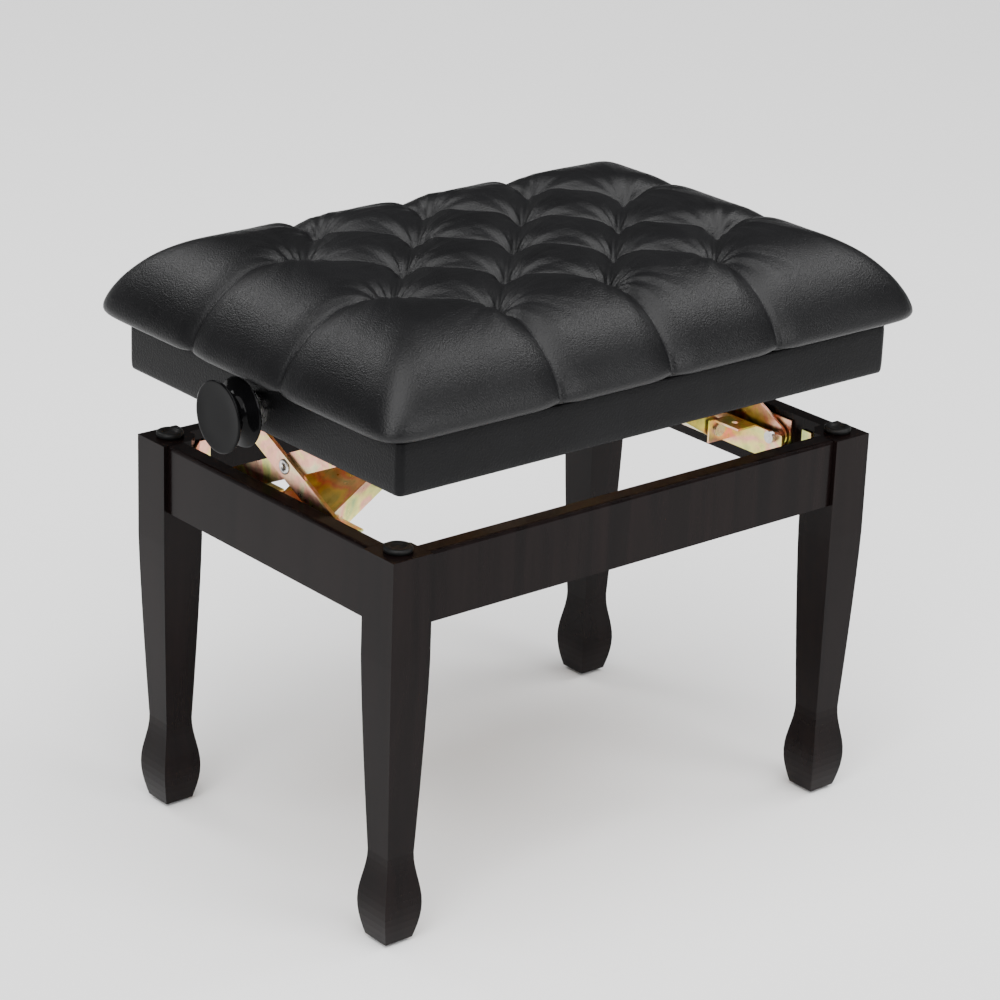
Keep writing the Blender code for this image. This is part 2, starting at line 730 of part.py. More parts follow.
def knob_profile():
    """Distance from the knob's back face and radius, from the bore out to the front face."""
    bore = SCREW_RADIUS + GAP
    profile = [(SCREW_IN_KNOB, bore), (0, bore), (0, KNOB_BACK_RADIUS), (KNOB_LIP, KNOB_BACK_RADIUS)]
    neck_start = KNOB_LIP
    neck_end = KNOB_LENGTH - KNOB_LIP
    for step in range(1, 6):
        share = step / 6
        edge = KNOB_BACK_RADIUS + (KNOB_RADIUS - KNOB_BACK_RADIUS) * share
        dip = (edge - KNOB_NECK_RADIUS) * math.sin(math.pi * share)
        profile.append((neck_start + (neck_end - neck_start) * share, edge - dip))
    profile.append((neck_end, KNOB_RADIUS))
    profile.append((KNOB_LENGTH - KNOB_LIP * 0.2, KNOB_RADIUS))
    profile.append((KNOB_LENGTH, KNOB_RADIUS - KNOB_LIP * 0.4))
    return profile


def make_knob(name, side):
    profile = [(side * (KNOB_BACK_X + along), radius) for along, radius in knob_profile()]
    home = (0, 0, SCREW_Z)
    return turned(name, "X", (0, SCREW_Z), profile, 2 * ROUND_SIDES, gloss_black, home)


def make_bearing(name, side):
    """A flanged bush in the end rail that the screw turns in."""
    face = BOX_HALF_X + GAP
    profile = [
        (side * (RAIL_INNER_X - SHEET), BEARING_RADIUS),
        (side * face, BEARING_RADIUS),
        (side * face, BEARING_FLANGE_RADIUS),
        (side * (face + BEARING_FLANGE), BEARING_FLANGE_RADIUS),
    ]
    bearing = turned(name, "X", (0, SCREW_Z), profile, ROUND_SIDES, steel)
    reach = sorted((side * (RAIL_INNER_X - KNOB_GAP), side * KNOB_BACK_X))
    bore = SCREW_RADIUS + BEARING_PLAY
    cut(bearing, rod("bore", "X", (0, SCREW_Z), bore, reach[0], reach[1], ROUND_SIDES))
    return bearing


def make_seat_box():
    for word, end in ENDS:
        rows = sorted((end * RAIL_INNER_Y, end * BOX_HALF_Y))
        low = (-BOX_HALF_X, rows[0], BOX_BOTTOM)
        high = (BOX_HALF_X, rows[1], BOX_TOP)
        block(f"seat_rail_{word}", low, high, leather)
    for word, side in SIDES:
        low = (GAP - RAIL_INNER_Y, BOX_BOTTOM)
        high = (RAIL_INNER_Y - GAP, BOX_TOP)
        name = f"seat_rail_{word}"
        rail = mirrored_block(name, side, RAIL_INNER_X, BOX_HALF_X, low, high, leather)
        reach = sorted((side * (RAIL_INNER_X - SHEET), side * (BOX_HALF_X + SHEET)))
        hole = BEARING_RADIUS + GAP
        cut(rail, rod("hole", "X", (0, SCREW_Z), hole, reach[0], reach[1], ROUND_SIDES))
    low = (GAP - RAIL_INNER_X, GAP - RAIL_INNER_Y, PANEL_BOTTOM)
    high = (RAIL_INNER_X - GAP, RAIL_INNER_Y - GAP, PANEL_BOTTOM + PANEL_THICKNESS)
    block("seat_panel", low, high, plywood)


def rounded_rectangle(half_x, half_y, radius, height, steps=5):
    points = []
    corners = ((1, 1, 0), (-1, 1, 1), (-1, -1, 2), (1, -1, 3))
    for sign_x, sign_y, quarter in corners:
        for step in range(steps + 1):
            angle = math.pi / 2 * (quarter + step / steps)
            x = sign_x * (half_x - radius) + radius * math.cos(angle)
            y = sign_y * (half_y - radius) + radius * math.sin(angle)
            points.append((x, y, height))
    return points


def make_cushion():
    """The padded top: it swells out over the box and rounds in to a flat sitting face."""
    base = BOX_TOP + GAP
    tall = CUSHION_HEIGHT - GAP
    rings = []
    for inset, share in CUSHION_SECTION:
        half_x = BOX_HALF_X + CUSHION_OVERHANG_X - inset
        half_y = BOX_HALF_Y + CUSHION_OVERHANG_Y - inset
        height = base + tall * share
        rings.append(rounded_rectangle(half_x, half_y, CUSHION_CORNER, height))
    ring_solid("cushion", rings, leather)


def build():
    clear_scene()
    make_aprons()
    for end_word, end in ENDS:
        for side_word, side in SIDES:
            place = f"{end_word}_{side_word}"
            make_leg(f"leg_{place}", side, end)
            make_glide(f"foot_glide_{place}", side, end)
            make_bumper(f"bumper_{place}", side, end)
            make_brace(f"corner_brace_{place}", side, end)
            make_corner_bolt(f"corner_bolt_{place}", side, end)
    for word, side in SIDES:
        make_lower_bracket(f"lower_bracket_{word}", side)
        make_arm_bolt(f"arm_bolt_{word}", side)
        make_strut_pin(f"strut_pin_{word}", side)
        make_arm(f"arm_a_{word}", side, False)
        make_arm(f"arm_b_{word}", side, True)
        make_rivet(f"arm_rivet_{word}", side)
        make_strut(f"strut_{word}", side)
        make_nut(f"nut_{word}", side)
        make_upper_bracket(f"upper_bracket_{word}", side)
        make_bearing(f"bearing_{word}", side)
        make_knob(f"knob_{word}", side)
    make_screw("screw")
    make_seat_box()
    make_cushion()


build()
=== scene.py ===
"""Looks of the piano bench: leather, lacquer, plated steel and the tufted cushion.

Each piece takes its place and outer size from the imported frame.
Metres, +Z up, +X along the long side, -Y front.
"""
import math

import bmesh
import bpy
import numpy as np
from mathutils import Matrix, Vector


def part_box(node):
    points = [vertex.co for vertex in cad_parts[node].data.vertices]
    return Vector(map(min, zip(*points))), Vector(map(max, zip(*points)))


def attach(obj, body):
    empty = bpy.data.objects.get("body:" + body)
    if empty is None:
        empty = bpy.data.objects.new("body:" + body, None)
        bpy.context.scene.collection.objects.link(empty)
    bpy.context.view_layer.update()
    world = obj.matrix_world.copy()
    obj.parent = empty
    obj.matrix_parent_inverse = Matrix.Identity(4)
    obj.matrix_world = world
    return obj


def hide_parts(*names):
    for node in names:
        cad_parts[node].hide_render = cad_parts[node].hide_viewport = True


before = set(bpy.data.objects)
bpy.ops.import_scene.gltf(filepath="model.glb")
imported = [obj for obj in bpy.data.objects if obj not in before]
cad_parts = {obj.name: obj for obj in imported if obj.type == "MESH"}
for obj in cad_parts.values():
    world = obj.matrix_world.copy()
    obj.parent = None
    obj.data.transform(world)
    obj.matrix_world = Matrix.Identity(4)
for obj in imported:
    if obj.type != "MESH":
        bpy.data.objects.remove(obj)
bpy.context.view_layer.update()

SIDES = (("left", -1), ("right", 1))
ENDS = (("front", -1), ("rear", 1))
PLACES = [f"{end}_{side}" for end, _ in ENDS for side, _ in SIDES]

# Camera at the photograph's angle
CAMERA_PLACE = (-1.7193, -2.0176, 1.3081)
CAMERA_AZIMUTH = -40.34
CAMERA_ELEVATION = 21.22
CAMERA_ROLL = 2.11
CAMERA_LENS = 118.96

# Cushion
TUFT_COLUMN = 0.117
TUFT_ROW = 0.0595
TUFT_DEPTH = 0.027
CREASE_DEPTH = 0.0115
CREASE_REACH = 0.038
SEAM_DEPTH = 0.0030
SEAM_REACH = 0.026
SEAM_FADE = 0.026
FOLD_DEPTH = 0.0011
FOLD_WIDTH = 0.0022
PLEAT_DEPTH = 0.0013
PLEAT_WIDTH = 0.0020
PLEAT_EDGE = 0.0012
PLEAT_STEP = 0.0006
PLEAT_REACH = 0.014
BORDER = 0.106
CORNER_POWER = 9.0
CUSHION_STEP = 0.004
CLOTH_PRESSURE = 4.0
CLOTH_FRAMES = 20
CLOTH_LIMIT = 0.0025
CLOTH_RIM = 0.012
WRINKLE_HEIGHT = 0.0009
WRINKLE_REACH = 0.016

# Seat box cover
BOX_CORNER = 0.006
BOX_EDGE = 0.003
BEARING_HOLE = 0.6

# Screw thread
THREAD_PITCH = 0.003
THREAD_DEPTH = 0.0008
THREAD_START = 0.012
THREAD_STOP = 0.150

# Eyelet rivet
RIVET_SHANK = 0.0035
RIVET_BORE = 0.0022
RIVET_CAP = 0.0012


# ---------------------------------------------------------------- materials

class Finish:
    """A material and a short way to wire its nodes."""

    def __init__(self, name, roughness, metallic=0.0, **constants):
        self.material = bpy.data.materials.new(name)
        self.material.use_nodes = True
        self.nodes = self.material.node_tree.nodes
        self.links = self.material.node_tree.links
        self.shader = self.nodes["Principled BSDF"]
        self.shader.inputs["Roughness"].default_value = roughness
        self.shader.inputs["Metallic"].default_value = metallic
        for socket, value in constants.items():
            self.shader.inputs[socket.replace("_", " ")].default_value = value
        self.place = self.nodes.new("ShaderNodeTexCoord").outputs["Object"]

    def link(self, source, node, socket):
        self.links.new(source, node.inputs[socket])

    def stretched(self, scale):
        node = self.nodes.new("ShaderNodeMapping")
        node.inputs["Scale"].default_value = scale
        self.link(self.place, node, "Vector")
        return node.outputs["Vector"]

    def noise(self, scale, detail=3.0, rough=0.55, where=None, distortion=0.0):
        node = self.nodes.new("ShaderNodeTexNoise")
        node.inputs["Scale"].default_value = scale
        node.inputs["Detail"].default_value = detail
        node.inputs["Roughness"].default_value = rough
        node.inputs["Distortion"].default_value = distortion
        self.link(where or self.place, node, "Vector")
        return node.outputs["Fac"]

    def cells(self, scale, feature="F1", randomness=1.0, where=None):
        node = self.nodes.new("ShaderNodeTexVoronoi")
        node.feature = feature
        node.inputs["Scale"].default_value = scale
        node.inputs["Randomness"].default_value = randomness
        self.link(where or self.place, node, "Vector")
        return node.outputs["Distance"]

    def ramp(self, source, *stops):
        node = self.nodes.new("ShaderNodeValToRGB")
        while len(node.color_ramp.elements) < len(stops):
            node.color_ramp.elements.new(0.5)
        for element, (position, colour) in zip(node.color_ramp.elements, stops):
            element.position = position
            element.color = (*colour, 1.0)
        self.link(source, node, "Fac")
        return node.outputs["Color"]

    def span(self, source, low, high):
        node = self.nodes.new("ShaderNodeMapRange")
        node.inputs["To Min"].default_value = low
        node.inputs["To Max"].default_value = high
        self.link(source, node, "Value")
        return node.outputs["Result"]

    def blend(self, factor, first, second, mode="MIX"):
        node = self.nodes.new("ShaderNodeMix")
        node.data_type = "RGBA"
        node.blend_type = mode
        if isinstance(factor, float):
            node.inputs[0].default_value = factor
        else:
            self.links.new(factor, node.inputs[0])
        self.links.new(first, node.inputs[6])
        self.links.new(second, node.inputs[7])
        return node.outputs[2]

    def colour(self, source):
        self.link(source, self.shader, "Base Color")

    def rough(self, source):
        self.link(source, self.shader, "Roughness")

    def bump(self, source, height, strength=1.0, below=None):
        node = self.nodes.new("ShaderNodeBump")
        node.inputs["Distance"].default_value = height
        node.inputs["Strength"].default_value = strength
        self.link(source, node, "Height")
        if below:
            self.link(below, node, "Normal")
        return node.outputs["Normal"]

    def normal(self, source):
        self.link(source, self.shader, "Normal")


def leather_finish(name, specular):
    finish = Finish(name, 0.40, Specular_IOR_Level=specular)
    grain = finish.cells(760.0, "SMOOTH_F1")
    creases = finish.cells(330.0, "DISTANCE_TO_EDGE")
    cloud = finish.noise(16.0, 4.0)
    fine = finish.noise(2600.0, 2.0)
    finish.colour(finish.ramp(cloud, (0.3, (0.0030, 0.0030, 0.0034)), (0.75, (0.0058, 0.0058, 0.0064))))
    finish.rough(finish.span(cloud, 0.34, 0.44))
    shape = finish.bump(finish.ramp(creases, (0.0, (0, 0, 0)), (0.12, (1, 1, 1))), 0.00012, 0.5)
    shape = finish.bump(grain, 0.00028, 0.75, shape)
    finish.normal(finish.bump(fine, 0.00008, 0.4, shape))
    return finish.material


def lacquer_finish():
    finish = Finish("lacquer_black", 0.22, Specular_IOR_Level=0.08)
    grain = finish.noise(60.0, 4.0, 0.6, finish.stretched((1.0, 1.0, 0.06)), 0.4)
    cloud = finish.noise(7.0, 2.0)
    finish.colour(finish.ramp(grain, (0.35, (0.0036, 0.0022, 0.0022)), (0.7, (0.0075, 0.0044, 0.0042))))
    finish.rough(finish.span(cloud, 0.18, 0.27))
    finish.normal(finish.bump(grain, 0.00006, 0.35))
    return finish.material


def zinc_finish():
    finish = Finish("zinc_yellow", 0.3, 1.0)
    drift = finish.noise(26.0, 3.0, 0.5, None, 0.8)
    spots = finish.noise(110.0, 4.0)
    passivated = finish.ramp(
        drift,
        (0.30, (0.44, 0.58, 0.26)),
        (0.42, (0.86, 0.78, 0.26)),
        (0.52, (0.92, 0.44, 0.34)),
        (0.62, (0.88, 0.66, 0.40)),
        (0.74, (0.42, 0.66, 0.44)),
    )
    dull = finish.ramp(spots, (0.40, (0.62, 0.62, 0.60)), (0.60, (1.0, 1.0, 1.0)))
    finish.colour(finish.blend(0.55, passivated, dull, "MULTIPLY"))
    finish.rough(finish.span(spots, 0.20, 0.42))
    brushed = finish.noise(900.0, 2.0, 0.5, finish.stretched((1.0, 0.08, 1.0)))
    finish.normal(finish.bump(brushed, 0.00005, 0.4))
    return finish.material


def steel_finish():
    finish = Finish("steel_bright", 0.28, 1.0)
    spots = finish.noise(220.0, 4.0)
    finish.colour(finish.ramp(spots, (0.3, (0.48, 0.47, 0.46)), (0.7, (0.68, 0.67, 0.65))))
    finish.rough(finish.span(spots, 0.20, 0.38))
    finish.normal(finish.bump(finish.noise(1200.0, 2.0), 0.00004, 0.3))
    return finish.material


def rubber_finish():
    finish = Finish("rubber_black", 0.55, Specular_IOR_Level=0.22)
    cloud = finish.noise(300.0, 4.0)
    finish.colour(finish.ramp(cloud, (0.3, (0.0035, 0.0035, 0.0035)), (0.7, (0.0085, 0.0085, 0.0085))))
    finish.rough(finish.span(cloud, 0.42, 0.62))
    finish.normal(finish.bump(finish.noise(1500.0, 2.0), 0.00008, 0.5))
    return finish.material


def gloss_finish():
    finish = Finish("plastic_gloss_black", 0.10, Specular_IOR_Level=0.06)
    cloud = finish.noise(40.0, 3.0)
    finish.colour(finish.ramp(cloud, (0.3, (0.0020, 0.0020, 0.0022)), (0.7, (0.0040, 0.0040, 0.0044))))
    finish.rough(finish.span(cloud, 0.07, 0.14))
    finish.normal(finish.bump(finish.noise(500.0, 2.0), 0.00002, 0.25))
    return finish.material


def plywood_finish():
    finish = Finish("plywood", 0.62)
    grain = finish.noise(34.0, 5.0, 0.6, finish.stretched((0.12, 1.6, 3.0)), 0.8)
    pores = finish.noise(700.0, 2.0, 0.5, finish.stretched((0.08, 1.0, 1.0)))
    tone = finish.ramp(grain, (0.3, (0.36, 0.23, 0.12)), (0.7, (0.60, 0.43, 0.25)))
    dark = finish.ramp(pores, (0.35, (0.70, 0.66, 0.62)), (0.55, (1, 1, 1)))
    finish.colour(finish.blend(0.7, tone, dark, "MULTIPLY"))
    finish.normal(finish.bump(pores, 0.00015, 0.5))
    return finish.material


def floor_finish():
    finish = Finish("floor_pale", 0.55)
    cloud = finish.noise(1.5, 2.0)
    finish.colour(finish.ramp(cloud, (0.3, (0.965, 0.965, 0.965)), (0.7, (0.98, 0.98, 0.98))))
    return finish.material


LEATHER = leather_finish("leather_black", 0.24)
BOX_LEATHER = leather_finish("leather_box", 0.09)
LACQUER = lacquer_finish()
ZINC = zinc_finish()
STEEL = steel_finish()
RUBBER = rubber_finish()
GLOSS = gloss_finish()
PLYWOOD = plywood_finish()


# ---------------------------------------------------------------- mesh helpers

def mesh_piece(name, points, faces, finish, smooth_angle=None):
    mesh = bpy.data.meshes.new(name)
    mesh.from_pydata([tuple(point) for point in points], [], faces)
    work = bmesh.new()
    work.from_mesh(mesh)
    bmesh.ops.remove_doubles(work, verts=work.verts, dist=1e-7)
    bmesh.ops.recalc_face_normals(work, faces=work.faces)
    work.to_mesh(mesh)
    work.free()
    mesh.materials.append(finish)
    mesh.shade_smooth()
    if smooth_angle:
        mesh.set_sharp_from_angle(angle=math.radians(smooth_angle))
    piece = bpy.data.objects.new(name, mesh)
    bpy.context.scene.collection.objects.link(piece)
    return piece


def ring_faces(rows, count, closed_rows=False, capped=True):
    faces = []
    last = rows if closed_rows else rows - 1
    for row in range(last):
        after_row = (row + 1) % rows
        for step in range(count):
            after = (step + 1) % count
            faces.append((row * count + step, row * count + after,
                          after_row * count + after, after_row * count + step))
    if capped and not closed_rows:
        faces.append(tuple(range(count)))
        faces.append(tuple((rows - 1) * count + step for step in range(count)))
    return faces


def placed(axis, along, first, second):
    if axis == "X":
        return (along, first, second)
    if axis == "Y":
        return (first, along, second)
    return (first, second, along)


def turned_piece(name, axis, centre, profile, sides, finish, smooth_angle=40):
    points = []
    for along, radius in profile:
        for step in range(sides):
            angle = 2 * math.pi * step / sides
            first = centre[0] + radius * math.cos(angle)
            second = centre[1] + radius * math.sin(angle)
            points.append(placed(axis, along, first, second))
    return mesh_piece(name, points, ring_faces(len(profile), sides), finish, smooth_angle)


def smooth_curve(points, steps):
    """Points along a Catmull-Rom curve through a few given points."""
    padded = [points[0], *points, points[-1]]
    result = []
    for p0, p1, p2, p3 in zip(padded, padded[1:], padded[2:], padded[3:]):
        for step in range(steps):
            t = step / steps
            result.append(tuple(
                0.5 * (2 * b + (c - a) * t + (2 * a - 5 * b + 4 * c - d) * t * t
                       + (3 * b - a - 3 * c + d) * t ** 3)
                for a, b, c, d in zip(p0, p1, p2, p3)
            ))
    result.append(points[-1])
    return result


def keep_flat(item):
    """Shade large flat faces flat where small rounded ones meet them."""
    change = item.modifiers.new("flat", "WEIGHTED_NORMAL")
    change.keep_sharp = True


def bevel(item, width, segments=2, angle=35):
    change = item.modifiers.new("edge", "BEVEL")
    change.width = width
    change.segments = segments
    change.limit_method = "ANGLE"
    change.angle_limit = math.radians(angle)
    keep_flat(item)


def finish_node(name, finish):
    """Give a CAD node its finish in every slot."""
    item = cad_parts[name]
    if not item.material_slots:
        item.data.materials.append(finish)
    for entry in item.material_slots:
        entry.material = finish
    return item


def centre_of(name):
    low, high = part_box(name)
    return (low + high) / 2


# ---------------------------------------------------------------- cushion

def cushion_profile():
    """Border of the cushion from the tufted field outward and down: (outward, height)."""
    low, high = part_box("cushion")
    tall = high.z - low.z
    shape = (
        (0.00, 0.990), (0.16, 0.995), (0.34, 0.960), (0.52, 0.870), (0.70, 0.720), (0.85, 0.520),
        (0.94, 0.345), (0.985, 0.215), (1.00, 0.130), (0.985, 0.078), (0.93, 0.062), (0.86, 0.066),
        (0.835, 0.035), (0.83, 0.0),
    )
    curve = smooth_curve([(out * BORDER, low.z + tall * share) for out, share in shape], 8)
    points = np.array(curve)
    steps = np.linalg.norm(np.diff(points, axis=0), axis=1)
    return points, np.concatenate(([0.0], np.cumsum(steps)))


def tuft_places():
    places = []
    for row in range(-2, 3):
        count = 3 if row % 2 == 0 else 4
        for column in range(count):
            places.append(((column - (count - 1) / 2) * TUFT_COLUMN, row * TUFT_ROW))
    return np.array(places)


def crease_lines(tufts):
    """Pairs of neighbouring tufts on the diagonals."""
    lines = []
    for i, first in enumerate(tufts):
        for second in tufts[i + 1:]:
            gap = np.abs(second - first)
            if abs(gap[0] - TUFT_COLUMN / 2) < 1e-6 and abs(gap[1] - TUFT_ROW) < 1e-6:
                lines.append((first, second))
    return lines


def seam_lines(tufts, reach_x, reach_y):
    """Pleats from the outer tufts straight out to the cushion's edge."""
    lines = []
    outer_row = 2 * TUFT_ROW
    outer_column = 1.5 * TUFT_COLUMN
    for x, y in tufts:
        if abs(abs(y) - outer_row) < 1e-6:
            lines.append((np.array((x, y)), np.array((x, math.copysign(reach_y, y)))))
        if abs(abs(x) - outer_column) < 1e-6:
            lines.append((np.array((x, y)), np.array((math.copysign(reach_x, x), y))))
    return lines


def along_line(places, line):
    """Distance to a line, the share along it, and the signed side."""
    start, stop = line
    run = stop - start
    length = np.linalg.norm(run)
    offset = places - start
    share = np.clip(offset @ run / length ** 2, 0, 1)
    nearest = start + share[:, None] * run
    side = (offset[:, 0] * run[1] - offset[:, 1] * run[0]) / length
    return np.linalg.norm(places - nearest, axis=1), share, side, length


def tuft_sink(places, reach_x, reach_y):
    """How far each place on the cover is drawn in by tufts, creases and pleats."""
    tufts = tuft_places()
    sink = np.zeros(len(places))
    for line in crease_lines(tufts):
        distance, share, _, _ = along_line(places, line)
        middle = np.abs(2 * share - 1)
        deep = CREASE_DEPTH + (TUFT_DEPTH - CREASE_DEPTH) * middle ** 2.4
        sink = np.maximum(sink, deep * np.clip(1 - distance / CREASE_REACH, 0, 1) ** 2.1)
    for line in seam_lines(tufts, reach_x, reach_y):
        distance, share, _, length = along_line(places, line)
        fade = np.exp(-share * length / SEAM_FADE)
        deep = SEAM_DEPTH + (TUFT_DEPTH - SEAM_DEPTH) * fade
        reach = SEAM_REACH + (CREASE_REACH - SEAM_REACH) * fade
        sink = np.maximum(sink, deep * np.clip(1 - distance / reach, 0, 1) ** 2.1)
    return sink


def fine_relief(places, reach_x, reach_y):
    """Pleat steps, sharp fold lines and the small wrinkles round each tuft."""
    tufts = tuft_places()
    relief = np.zeros(len(places))
    for line in crease_lines(tufts):
        distance, _, _, _ = along_line(places, line)
        relief -= FOLD_DEPTH * np.exp(-(distance / FOLD_WIDTH) ** 2)
    for line in seam_lines(tufts, reach_x, reach_y):
        distance, share, side, _ = along_line(places, line)
        open_end = np.clip(share * 20, 0, 1)
        relief -= PLEAT_DEPTH * np.exp(-(distance / PLEAT_WIDTH) ** 2) * open_end
        step = PLEAT_STEP * np.exp(-distance / PLEAT_REACH) * np.tanh(side / PLEAT_EDGE)
        relief += step * open_end * np.sign(line[1][0] - line[0][0] + line[1][1] - line[0][1])
    for number, (x, y) in enumerate(tufts):
        offset = places - (x, y)
        radius = np.linalg.norm(offset, axis=1)
        angle = np.arctan2(offset[:, 1], offset[:, 0])
        folds = 9 + number % 4
        phase = 1.7 * number
        wave = np.cos(folds * angle + phase + 2.0 * np.sin(angle * 2 + phase)) ** 3
        swell = (radius / WRINKLE_REACH) * np.exp(1 - radius / WRINKLE_REACH)
        relief += WRINKLE_HEIGHT * wave * swell * np.clip(radius / 0.004, 0, 1)
    return relief


def cushion_sheet():
    """The cover before tufting: points, faces and each point's place on the flat cover."""
    _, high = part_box("cushion")
    curve, lengths = cushion_profile()
    reach = lengths[-1]
    inner_x = high.x - BORDER
    inner_y = high.y - BORDER
    columns = 2 * round((inner_x + reach) / CUSHION_STEP) + 1
    rows = 2 * round((inner_y + reach) / CUSHION_STEP) + 1
    across = np.linspace(-inner_x - reach, inner_x + reach, columns)
    deep = np.linspace(-inner_y - reach, inner_y + reach, rows)
    places = np.array([(x, y) for y in deep for x in across])
    core = np.clip(places, (-inner_x, -inner_y), (inner_x, inner_y))
    beyond = places - core
    level = np.abs(beyond).max(axis=1)
    power = (np.abs(beyond) ** CORNER_POWER).sum(axis=1) ** (1 / CORNER_POWER)
    outward = beyond / np.maximum(power, 1e-9)[:, None]
    out = np.interp(level, lengths, curve[:, 0])
    height = np.interp(level, lengths, curve[:, 1])
    plan = core + outward * out[:, None]
    points = np.column_stack((plan, height))
    faces = []
    for row in range(rows - 1):
        for column in range(columns - 1):
            first = row * columns + column
            faces.append((first, first + 1, first + columns + 1, first + columns))
    return points, faces, places, (inner_x + reach, inner_y + reach)


def close_underside(mesh):
    """Fill the open underside with a fan of triangles from one middle point."""
    work = bmesh.new()
    work.from_mesh(mesh)
    rim = [edge for edge in work.edges if edge.is_boundary]
    height = sum(edge.verts[0].co.z for edge in rim) / len(rim)
    middle = work.verts.new((0, 0, height))
    for edge in rim:
        work.faces.new((edge.verts[0], edge.verts[1], middle))
    bmesh.ops.recalc_face_normals(work, faces=work.faces)
    work.to_mesh(mesh)
    work.free()


def mesh_normals(mesh):
    normals = np.zeros(len(mesh.vertices) * 3)
    mesh.vertices.foreach_get("normal", normals)
    return normals.reshape(-1, 3)


def mesh_points(mesh):
    points = np.zeros(len(mesh.vertices) * 3)
    mesh.vertices.foreach_get("co", points)
    return points.reshape(-1, 3)


def set_points(mesh, points):
    mesh.vertices.foreach_set("co", points.ravel())
    mesh.update()


def store_places(mesh, places):
    layer = mesh.attributes.new("place", "FLOAT_VECTOR", "POINT")
    layer.data.foreach_set("vector", np.column_stack((places, np.zeros(len(places)))).ravel())


def read_places(mesh):
    values = np.zeros(len(mesh.vertices) * 3)
    mesh.attributes["place"].data.foreach_get("vector", values)
    return values.reshape(-1, 3)[:, :2]


def settled(piece):
    """The piece's mesh with its modifiers applied."""
    graph = bpy.context.evaluated_depsgraph_get()
    mesh = bpy.data.meshes.new_from_object(piece.evaluated_get(graph))
    piece.modifiers.clear()
    piece.data = mesh
    return mesh


def swell_cover(piece, sink):
    """Let air pressure round the puffs; tufts, folds and the rim are held."""
    mesh = piece.data
    before = mesh_points(mesh)
    low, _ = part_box("cushion")
    held = np.clip(sink / CREASE_DEPTH, 0, 1)
    held[before[:, 2] < low.z + CLOTH_RIM] = 1.0
    group = piece.vertex_groups.new(name="held")
    for level in range(11):
        chosen = np.where(np.round(held * 10) == level)[0].tolist()
        if chosen:
            group.add(chosen, level / 10, "REPLACE")
    change = piece.modifiers.new("swell", "CLOTH")
    settings = change.settings
    settings.quality = 5
    settings.vertex_group_mass = "held"
    settings.use_pressure = True
    settings.uniform_pressure_force = CLOTH_PRESSURE
    settings.effector_weights.gravity = 0
    for frame_number in range(1, CLOTH_FRAMES + 1):
        bpy.context.scene.frame_set(frame_number)
    settled_mesh = settled(piece)
    moved = mesh_points(settled_mesh) - before
    length = np.linalg.norm(moved, axis=1)
    keep = np.minimum(1, CLOTH_LIMIT / np.maximum(length, 1e-9))
    set_points(settled_mesh, before + moved * keep[:, None])
    bpy.context.scene.frame_set(1)


def make_cushion():
    points, faces, places, (reach_x, reach_y) = cushion_sheet()
    mesh = bpy.data.meshes.new("cushion_cover")
    mesh.from_pydata(points.tolist(), [], faces)
    mesh.update()
    store_places(mesh, places)
    normals = mesh_normals(mesh)
    sink = tuft_sink(places, reach_x, reach_y)
    set_points(mesh, points - normals * sink[:, None])
    piece = bpy.data.objects.new("cushion_cover", mesh)
    bpy.context.scene.collection.objects.link(piece)
    swell_cover(piece, sink)
    change = piece.modifiers.new("fine", "SUBSURF")
    change.levels = 1
    change.render_levels = 1
    mesh = settled(piece)
    points = mesh_points(mesh)
    places = read_places(mesh)
    relief = fine_relief(places, reach_x, reach_y)
    low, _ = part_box("cushion")
    top_only = np.clip((points[:, 2] - low.z - 0.004) / 0.004, 0, 1)
    set_points(mesh, points + mesh_normals(mesh) * (relief * top_only)[:, None])
    close_underside(mesh)
    mesh.materials.append(LEATHER)
    mesh.shade_smooth()
    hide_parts("cushion")
    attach(piece, "seat")
    return piece


# ---------------------------------------------------------------- seat box

def rounded_ring(half_x, half_y, radius, height, steps=6, per_side=24):
    """A rounded rectangle with points along its straight sides as well."""
    radius = max(radius, 1e-5)
    corners = ((1, 1, 0), (-1, 1, 1), (-1, -1, 2), (1, -1, 3))
    arcs = []
    for sign_x, sign_y, quarter in corners:
        arc = []
        for step in range(steps + 1):
            angle = math.pi / 2 * (quarter + step / steps)
            arc.append((sign_x * (half_x - radius) + radius * math.cos(angle),
                        sign_y * (half_y - radius) + radius * math.sin(angle)))
        arcs.append(arc)
    points = []
    for arc, after in zip(arcs, arcs[1:] + arcs[:1]):
        points += arc
        start, stop = Vector(arc[-1]), Vector(after[0])
        points += [tuple(start.lerp(stop, step / per_side)) for step in range(1, per_side)]
    return [(x, y, height) for x, y in points]


def bore_cover(piece):
    """Open the cover for the bearings of the screw."""
    low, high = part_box("bearing_right")
    flange = (high.z - low.z) / 2
    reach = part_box("seat_rail_right")[1].x + 0.01
    centre = (low + high) / 2
    profile = ((-reach, BEARING_HOLE * flange), (reach, BEARING_HOLE * flange))
    tool = turned_piece("bearing_bore", "X", (centre.y, centre.z), profile, 32, PLYWOOD)
    change = piece.modifiers.new("bore", "BOOLEAN")
    change.operation = "DIFFERENCE"
    change.solver = "EXACT"
    change.object = tool
    settled(piece)
    bpy.data.objects.remove(tool)


